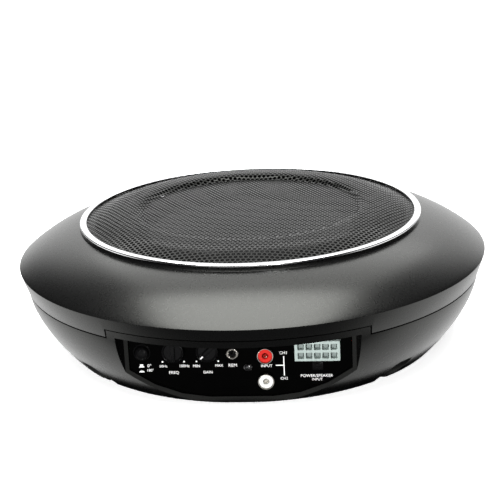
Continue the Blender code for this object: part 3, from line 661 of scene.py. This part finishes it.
def blended_ring(name, profile, slot, node):
    """A turned soft part, built in sectors, that stands for its CAD node."""
    sectors, steps = 12, 6
    width = tau / sectors
    for s in range(sectors):
        bm = bmesh.new()
        rings = []
        for k in range(steps + 1):
            a = width * (s + k / steps)
            rings.append([bm.verts.new((r * cos(a) * MM, r * sin(a) * MM, z * MM)) for r, z in profile])
        for one, two in zip(rings, rings[1:]):
            for i in range(len(profile)):
                j = (i + 1) % len(profile)
                bm.faces.new((one[i], two[i], two[j], one[j]))
        bm.faces.new(rings[0])
        bm.faces.new(list(reversed(rings[-1])))
        made = store(f"{name}_{s + 1}", bm, slot)
        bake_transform(made)
        if s == 0:
            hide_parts(node)


def surround():
    thick, centre_r, roll_r, lip_z = 0.8, 68.0, 5.6, 63.6
    roll = [pi * i / 16 for i in range(17)]
    upper = [(58.2, lip_z + thick), (60.2, lip_z + thick)]
    upper += [(centre_r - roll_r * cos(a), lip_z + thick + roll_r * sin(a)) for a in roll]
    upper += [(76.2, lip_z + thick), (79.3, lip_z + thick)]
    inner_r = roll_r - thick
    lower = [(58.2, lip_z), (60.2, lip_z)]
    lower += [(centre_r - inner_r * cos(a), lip_z + inner_r * sin(a)) for a in roll]
    lower += [(76.2, lip_z), (79.3, lip_z)]
    blended_ring("surround", upper + lower[::-1], "rubber", "surround")


def spider():
    thick, waves, inner, outer = 0.5, 2, 13.2, 40.0
    upper = []
    for i in range(25):
        t = i / 24
        upper.append((inner + (outer - inner) * t, 40.1 + 1.1 * sin(tau * waves * t)))
    upper.append((46.0, 40.1))
    lower = [(r, z - thick) for r, z in upper]
    blended_ring("spider", upper + lower[::-1], "spider", "spider")


def cone_and_cap():
    """The ribbed paper cone and its dust cap."""
    top, under = [], []
    for i in range(41):
        t = i / 40
        r = 13.2 + (57.4 - 13.2) * t
        z = 48.0 + 15.3 * (1 - (1 - t) ** 1.06) + 0.12 * sin(tau * 5 * t)
        top.append((r, z))
        under.append((r + 0.1, z - 0.95))
    profile = under + [(62.0, 62.4), (62.0, 63.3)] + top[::-1]
    stand_in(store("paper_cone", lathe(profile, 128), "cone"), "cone_assembly", "cone")
    steps = [radians(90 * i / 14) for i in range(15)]
    dome = [(20.0 * sin(a), 51.3 + 6.0 * cos(a)) for a in steps]
    hollow = [(19.2 * sin(a), 51.3 + 5.2 * cos(a)) for a in reversed(steps)]
    stand_in(store("dome_cap", lathe(dome + hollow, 96), "cone"), "cone_assembly", "dust_cap")


# ---- control bay ----


def panel():
    """The recessed plate with holes for each control."""
    plate = store("panel_plate", extruded(plate_outline(), PLATE_Y, PLATE_Y + PLATE_T, 0.25), "panel")
    round_holes = [(PHASE_X, PHASE_Z, PHASE_R + 0.3), (FREQ_X, KNOB_Z, 3.2), (GAIN_X, KNOB_Z, 3.2),
                   (REMOTE_X, REMOTE_Z, 3.3), (SCREW_X, SCREW_Z, 1.7)]
    round_holes += [(RCA_X, z, RCA_R + 0.3) for z in RCA_Z.values()]
    y0, y1 = PLATE_Y - 1, PLATE_Y + PLATE_T + 1
    cutters = [cylinder(r, y0, y1, HOLE, facing=(x, z)) for x, z, r in round_holes]
    half_w, half_h = HEADER_W / 2 + 0.3, HEADER_H / 2 + 0.3
    cutters.append(block((HEADER_X - half_w, y0, HEADER_Z - half_h),
                         (HEADER_X + half_w, y1, HEADER_Z + half_h)))
    carved(plate, "DIFFERENCE", cutters)
    stand_in(plate, "root", "control_plate")


def knob(name, x, pointer_deg, node, body, marked):
    """A round knob with a bevelled rim, a dished face and a raised grip bar."""
    face, back = -104.2, PLATE_Y - 0.3
    profile = [(0, face + 0.7), (4.5, face + 0.7), (4.9, face + 0.1), (5.15, face), (5.45, face + 0.1)]
    profile += [(KNOB_R, face + 0.45), (KNOB_R, back), (2.8, back), (2.8, -93), (0, -93)]
    body_mesh = lathe(profile, FINE, facing=(0, 0))
    bar = block((-1.1, face - 1.0, -4.75), (1.1, face + 1.2, 4.75), 0.35, 3)
    made = store(name, merged(body_mesh, bar), "control")
    turn = Matrix.Rotation(radians(pointer_deg), 4, "Y")
    place = Matrix.Translation((x * MM, 0, KNOB_Z * MM)) @ turn
    made.data.transform(place)
    stand_in(made, body, node)
    if marked:
        pointer = block((-0.36, face - 1.06, 2.7), (0.36, face - 0.9, 4.6), 0.05, 1)
        mark = store(f"{name}_pointer", pointer, "white")
        mark.data.transform(place)
        stand_in(mark, body)


def phase_button():
    """A domed push button in a thin collar."""
    front, back = -104.0, -95.0
    profile = [(0, front), (1.6, front + 0.08), (2.6, front + 0.3), (3.15, front + 0.7)]
    profile += [(PHASE_R, front + 1.3), (PHASE_R, back), (0, back)]
    stand_in(store("push_button", lathe(profile, FINE, facing=(PHASE_X, PHASE_Z)), "control"),
             "phase_button", "phase_button")
    collar = [(3.75, PLATE_Y), (3.75, PLATE_Y - 0.45), (4.0, PLATE_Y - 0.65),
              (4.4, PLATE_Y - 0.45), (4.6, PLATE_Y)]
    stand_in(store("button_collar", lathe(collar, FINE, facing=(PHASE_X, PHASE_Z)), "control"), "root")


def remote_jack():
    """A plated jack bush with a deep bore and a black liner inside it."""
    back = PLATE_Y + PLATE_T + 0.3
    lip = [(2.5 - 0.75 * cos(a), -101.9 - 0.8 * sin(a)) for a in (pi * i / 12 for i in range(13))]
    profile = [(0, -92), (0, -96.5), (1.75, -96.5), *lip, (3.25, -101.2), (3.05, -101.2)]
    profile += [(3.05, back), (4.6, back), (4.6, -92)]
    stand_in(store("jack_bush", lathe(profile, FINE, facing=(REMOTE_X, REMOTE_Z)), "nickel"),
             "root", "remote_jack")
    liner = [(1.05, -97), (1.05, -101.4), (1.7, -101.4), (1.7, -97)]
    stand_in(store("jack_liner", lathe(liner, HOLE, facing=(REMOTE_X, REMOTE_Z)), "control"), "root")


def panel_fastener():
    place = Matrix.Translation((SCREW_X * MM, PLATE_Y * MM, SCREW_Z * MM)) @ Matrix.Rotation(pi / 2, 4, "X")
    pan_screw("panel_fastener", 2.3, 1.7, 1.4, 10.0, place, "panel_screw")


def rca_socket(name, z, slot):
    """A phono socket: plated shell, coloured insulator and a split centre contact."""
    face, seat = -104.8, PLATE_Y + PLATE_T
    shell = [(RCA_R - 0.42, face + 0.1), (RCA_R - 0.3, face), (RCA_R - 0.1, face), (RCA_R, face + 0.15)]
    shell += [(RCA_R, seat), (RCA_R - 0.42, seat)]
    stand_in(store(f"rca_rim_{name}", lathe(shell, FINE, facing=(RCA_X, z)), "nickel"),
             "root", f"rca_shell_{name}")
    outer, front = RCA_R - 0.55, face + 0.35
    core = [(1.55, front + 0.35), (1.85, front), (outer - 0.2, front), (outer, front + 0.2), (outer, seat)]
    core += [(0, seat), (0, seat - 1.0), (1.55, seat - 1.0)]
    stand_in(store(f"rca_core_{name}", lathe(core, FINE, facing=(RCA_X, z)), slot),
             "root", f"rca_insulator_{name}")
    sleeve = [(0.95, front + 0.9), (1.1, front + 0.7), (1.3, front + 0.9),
              (1.3, seat - 1.4), (0.95, seat - 1.4)]
    stand_in(store(f"rca_contact_{name}", lathe(sleeve, HOLE, facing=(RCA_X, z)), "nickel"), "root")


def header():
    """The ten-way nylon header with its sockets, coloured as painted shade in the wells, and the latch below
    it.
    """
    low = (HEADER_X - HEADER_W / 2, -102.4, HEADER_Z - HEADER_H / 2)
    high = (HEADER_X + HEADER_W / 2, BOARD_Y - 0.3, HEADER_Z + HEADER_H / 2)
    body = store("header_body", block(low, high, 0.3), "white")
    body.data.materials[0] = finish("header_nylon", (0.4, 0.47, 0.445), 0.42, grain=0.3, depth=0.012,
                                    vary=0.03, patch=4)
    half = 1.65
    wells, sockets = [], []
    for row in (-1, 1):
        for column in range(5):
            x = HEADER_X + (column - 2) * HEADER_PITCH
            z = HEADER_Z + row * HEADER_PITCH * 0.56
            wells.append(block((x - half, -104, z - half), (x + half, -93.4, z + half), 0.35, 2))
            sockets.append(block((x - 1.25, -100.4, z - 1.3), (x + 1.25, -92.6, z + 0.9), 0.3, 2))
    carved(body, "DIFFERENCE", wells)
    stand_in(body, "root", "power_header")
    inserts = store("header_sockets", merged(*sockets), "white")
    # The sockets get the header's nylon at half brightness: painted shade deep in the wells.
    inserts.data.materials[0] = finish("socket_nylon_painted_shade", (0.2, 0.235, 0.225), 0.42, grain=0.3, depth=0.012)
    stand_in(inserts, "root")
    latch = block((36.6, PLATE_Y - 0.9, 18.8), (42.2, PLATE_Y - 0.02, 23.4), 0.3)
    ramp = block((37.6, PLATE_Y - 1.3, 20.6), (41.2, PLATE_Y - 0.6, 22.6), 0.25)
    stand_in(store("header_latch", merged(latch, ramp), "control"), "root")


def lettering(text, x, z, width):
    """Printed words of that width in mm, as a thin solid on the panel."""
    curve = bpy.data.curves.new("words", "FONT")
    curve.body = text
    curve.align_x = "CENTER"
    curve.align_y = "CENTER"
    curve.extrude = 0.03
    curve.resolution_u = 3
    words = bpy.data.objects.new("words", curve)
    bpy.context.scene.collection.objects.link(words)
    evaluated = words.evaluated_get(bpy.context.evaluated_depsgraph_get())
    mesh = bpy.data.meshes.new_from_object(evaluated)
    scale = width * MM / words.dimensions.x
    place = Matrix.Translation((x * MM, (PLATE_Y - 0.04) * MM, z * MM))
    mesh.transform(place @ Matrix.Rotation(pi / 2, 4, "X") @ Matrix.Scale(scale, 4))
    bm = bmesh.new()
    bm.from_mesh(mesh)
    bpy.data.objects.remove(words)
    bpy.data.meshes.remove(mesh)
    return bm


def printed_bar(x0, z0, x1, z1):
    return block((x0, PRINT_FRONT, z0), (x1, PRINT_BACK, z1))


def printed_dot(x, z):
    return cylinder(DOT_R, PRINT_FRONT, PRINT_BACK, 20, facing=(x, z))


def panel_print():
    """White legends: plain words and scale ends for the controls."""
    words = [("FREQ", -34.4, 18.0, 5.0), ("GAIN", -16.9, 18.0, 4.7), ("50Hz", -39.7, 21.6, 4.1),
             ("100Hz", -28.9, 21.6, 5.0), ("MIN", -22.6, 21.5, 3.5), ("MAX", -11.0, 21.6, 4.0),
             ("REM", -4.0, 21.6, 4.2), ("INPUT", 13.3, 21.1, 5.7), ("CH1", 22.1, 28.1, 3.7),
             ("CH2", 22.1, 14.1, 3.7), ("POWER/SPEAKER", 38.7, 15.4, 16.4), ("INPUT", 38.9, 13.4, 5.3),
             ("0°", -46.9, 21.9, 1.9), ("180°", -46.6, 19.4, 3.2)]
    parts = [lettering(*entry) for entry in words]
    parts += [printed_dot(x, 24.05) for x in (-40.0, -28.9, -22.5, -11.3)]
    parts.append(printed_bar(21.95, 15.7, 22.45, 26.3))
    parts.append(printed_bar(18.0, 21.15, 22.0, 21.65))
    parts += [printed_bar(-52.2, 21.1, -49.6, 21.6), printed_bar(-51.7, 21.6, -50.1, 22.8)]
    parts += [printed_bar(-52.2, 18.4, -49.6, 18.9), printed_bar(-51.7, 18.9, -50.1, 19.35)]
    print_on_panel = store("panel_print", merged(*parts), "white")
    print_on_panel.data.materials[0] = finish("legend_ink", (0.97, 0.97, 0.97), 0.5, specular=0.2, grain=0.4,
                                              depth=0.001, vary=0.01, rough_vary=0.02)
    stand_in(print_on_panel, "root")


# ---- carried-over CAD nodes ----

KEPT = {
    "black_steel": ["basket"],
    "rubber": ["woofer_gasket"],
    "copper": ["voice_coil", "inductor"],
    "zinc": ["top_plate", "back_plate", "freq_pot", "gain_pot",
             *(f"board_standoff_{i}" for i in range(1, 5))],
    "ferrite": ["magnet"],
    "board": ["terminal_strip", "amp_board", "control_board"],
    "capacitor": ["capacitor_1", "capacitor_2"],
    "control": ["power_transistor_1", "power_transistor_2", "phase_switch", "rca_block"],
    "aluminium": ["heatsink"],
    "lead": ["speaker_lead"],
    "screw": [f"woofer_screw_{i}" for i in range(1, 5)],
}


def repaint_cad():
    for slot, names in KEPT.items():
        for name in names:
            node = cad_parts[name]
            for place in node.material_slots:
                place.material = FINISH[slot]


# ---- floor, light and camera ----

FLOOR_REACH, FLOOR_DEPTH = 6, 0.0002  # metres
# radius of the black disc of painted shadow under the object
SHADE_R = 110
WORLD_DARK, WORLD_BRIGHT = 0.03, 1.4
TABLE_GLOW = 0.4  # the pale table in front, as the metal rims see it
CAMERA_TURN = radians(4.8)
CAMERA_REACH, CAMERA_HEIGHT = 792.55, 308.45
CAMERA_PLACE = (CAMERA_REACH * sin(CAMERA_TURN), -CAMERA_REACH * cos(CAMERA_TURN), CAMERA_HEIGHT)
CAMERA_YAW, CAMERA_PITCH, CAMERA_ROLL = -0.00138, 0.31474, -0.0454
CAMERA_SENSOR, CAMERA_LENS = 36.0, 105.41


def floor():
    """A pale glowing table, and a dark disc on it that only reflections see: painted shadow, standing for the
    table's shade under the object.
    """
    bm = bmesh.new()
    corners = ((-1, -1), (1, -1), (1, 1), (-1, 1))
    bm.faces.new([bm.verts.new((x * FLOOR_REACH, y * FLOOR_REACH, -FLOOR_DEPTH)) for x, y in corners])
    made = store("studio_floor", bm)
    pale, tree, shader = nodes_of("studio_floor")
    shaded(tree, shader, noise(tree, 400, 2.0), (0.92, 0.92, 0.92), (0.94, 0.94, 0.94))
    shader.inputs["Roughness"].default_value = 0.9
    shader.inputs["Specular IOR Level"].default_value = 0.0
    shader.inputs["Emission Color"].default_value = (1, 1, 1, 1)
    shader.inputs["Emission Strength"].default_value = 0.7
    made.data.materials.append(pale)
    made.visible_glossy = False
    made.visible_diffuse = False
    # Painted shadow: a black disc under the object, seen only in reflections, in place of the table's shade
    # there.
    shade = store("painted_shadow_disc", cylinder(SHADE_R, -0.1, -0.15, FINE), "rubber")
    shade.visible_camera = False
    shade.visible_diffuse = False
    shade.visible_shadow = False


def softbox(name, place, target, size, power, glossy=True):
    """A rectangular lamp. One that isn't glossy is left out of reflections."""
    data = bpy.data.lights.new(name, "AREA")
    data.shape = "RECTANGLE"
    data.size, data.size_y = size
    data.energy = power
    made = bpy.data.objects.new(name, data)
    bpy.context.scene.collection.objects.link(made)
    direction = Vector(target) - Vector(place)
    made.visible_glossy = glossy
    made.location = place
    made.rotation_euler = direction.to_track_quat("-Z", "Y").to_euler()


def eased(tree, value, start, end, low, high):
    """Low until start, high after end, with a smooth turn between."""
    made = tree.nodes.new("ShaderNodeMapRange")
    made.interpolation_type = "SMOOTHSTEP"
    made.inputs["From Min"].default_value = start
    made.inputs["From Max"].default_value = end
    made.inputs["To Min"].default_value = low
    made.inputs["To Max"].default_value = high
    tree.links.new(value, made.inputs["Value"])
    return made.outputs["Result"]


def product(tree, *values):
    """The product of several node outputs."""
    result = values[0]
    for value in values[1:]:
        made = tree.nodes.new("ShaderNodeMath")
        made.operation = "MULTIPLY"
        tree.links.new(result, made.inputs[0])
        tree.links.new(value, made.inputs[1])
        result = made.outputs[0]
    return result


def either(tree, one, two):
    """The larger of two node outputs."""
    made = tree.nodes.new("ShaderNodeMath")
    made.operation = "MAXIMUM"
    tree.links.new(one, made.inputs[0])
    tree.links.new(two, made.inputs[1])
    return made.outputs[0]


def studio_world():
    """A bright sweep low behind the object and across the ground, under a dark ceiling and front.

    X, Y and Z are a direction: Y is -1 towards the front, and Z is 1 overhead.
    """
    world = bpy.data.worlds.new("studio")
    world.use_nodes = True
    tree = world.node_tree
    place = tree.nodes.new("ShaderNodeTexCoord")
    axes = tree.nodes.new("ShaderNodeSeparateXYZ")
    tree.links.new(place.outputs["Generated"], axes.inputs["Vector"])
    aside = tree.nodes.new("ShaderNodeMath")
    aside.operation = "ABSOLUTE"
    tree.links.new(axes.outputs["X"], aside.inputs[0])
    behind = eased(tree, axes.outputs["Y"], -0.6, 0.2, 0.0, 1.0)
    low = eased(tree, axes.outputs["Z"], 0.45, 0.85, 1.0, 0.0)
    ground = eased(tree, axes.outputs["Z"], -0.95, -0.4, 0.5, 1.0)
    central = eased(tree, aside.outputs[0], 0.36, 0.72, 1.0, 0.0)
    below = eased(tree, axes.outputs["Z"], -0.2, 0.05, 1.0, 0.0)
    sweep = product(tree, behind, low, ground, either(tree, central, below))
    table_front = eased(tree, axes.outputs["Y"], -0.9, -0.72, TABLE_GLOW, 0.0)
    table_low = eased(tree, axes.outputs["Z"], -0.62, -0.48, 0.0, 1.0)
    table_top = eased(tree, axes.outputs["Z"], -0.14, -0.02, 1.0, 0.0)
    table = product(tree, table_front, table_low, table_top)
    strength = eased(tree, either(tree, sweep, table), 0.0, 1.0, WORLD_DARK, WORLD_BRIGHT)
    tree.links.new(strength, tree.nodes["Background"].inputs["Strength"])
    tree.nodes["Background"].inputs["Color"].default_value = (1, 1, 1, 1)
    bpy.context.scene.world = world


def lights():
    studio_world()
    softbox("key", (-0.05, -0.3, 1.3), (-0.05, -0.3, 0), (1.2, 1.3), 38)
    softbox("top_back", (0.0, 0.95, 1.2), (0, 0, 0.05), (1.5, 0.9), 9)
    softbox("front", (-0.25, -1.6, 0.3), (0, -0.1, 0.03), (0.7, 0.4), 32, glossy=False)
    softbox("panel_glint", (0.5, -1.5, 0.12), (0.02, -0.1, 0.03), (0.16, 0.3), 2.5)


def camera():
    data = bpy.data.cameras.new("camera")
    data.sensor_width = CAMERA_SENSOR
    data.lens = CAMERA_LENS
    made = bpy.data.objects.new("camera", data)
    bpy.context.scene.collection.objects.link(made)
    turn = Matrix.Rotation(CAMERA_TURN - CAMERA_YAW, 4, "Z")
    tilt = Matrix.Rotation(pi / 2 - CAMERA_PITCH, 4, "X")
    roll = Matrix.Rotation(CAMERA_ROLL, 4, "Z")
    made.matrix_world = Matrix.Translation(Vector(CAMERA_PLACE) * MM) @ (turn @ tilt) @ roll
    bpy.context.scene.camera = made
    bpy.context.scene.view_settings.view_transform = "Standard"


def build():
    top_shell()
    bottom_shell()
    underside()
    perforated_grille()
    bright_ring()
    surround()
    spider()
    cone_and_cap()
    panel()
    knob("freq_grip", FREQ_X, 0.0, "freq_knob", "freq_knob", False)
    knob("gain_grip", GAIN_X, -135.0, "gain_knob", "gain_knob", True)
    phase_button()
    remote_jack()
    panel_fastener()
    for name, z in RCA_Z.items():
        rca_socket(name, z, name)
    header()
    panel_print()
    repaint_cad()
    floor()
    lights()
    camera()


build()
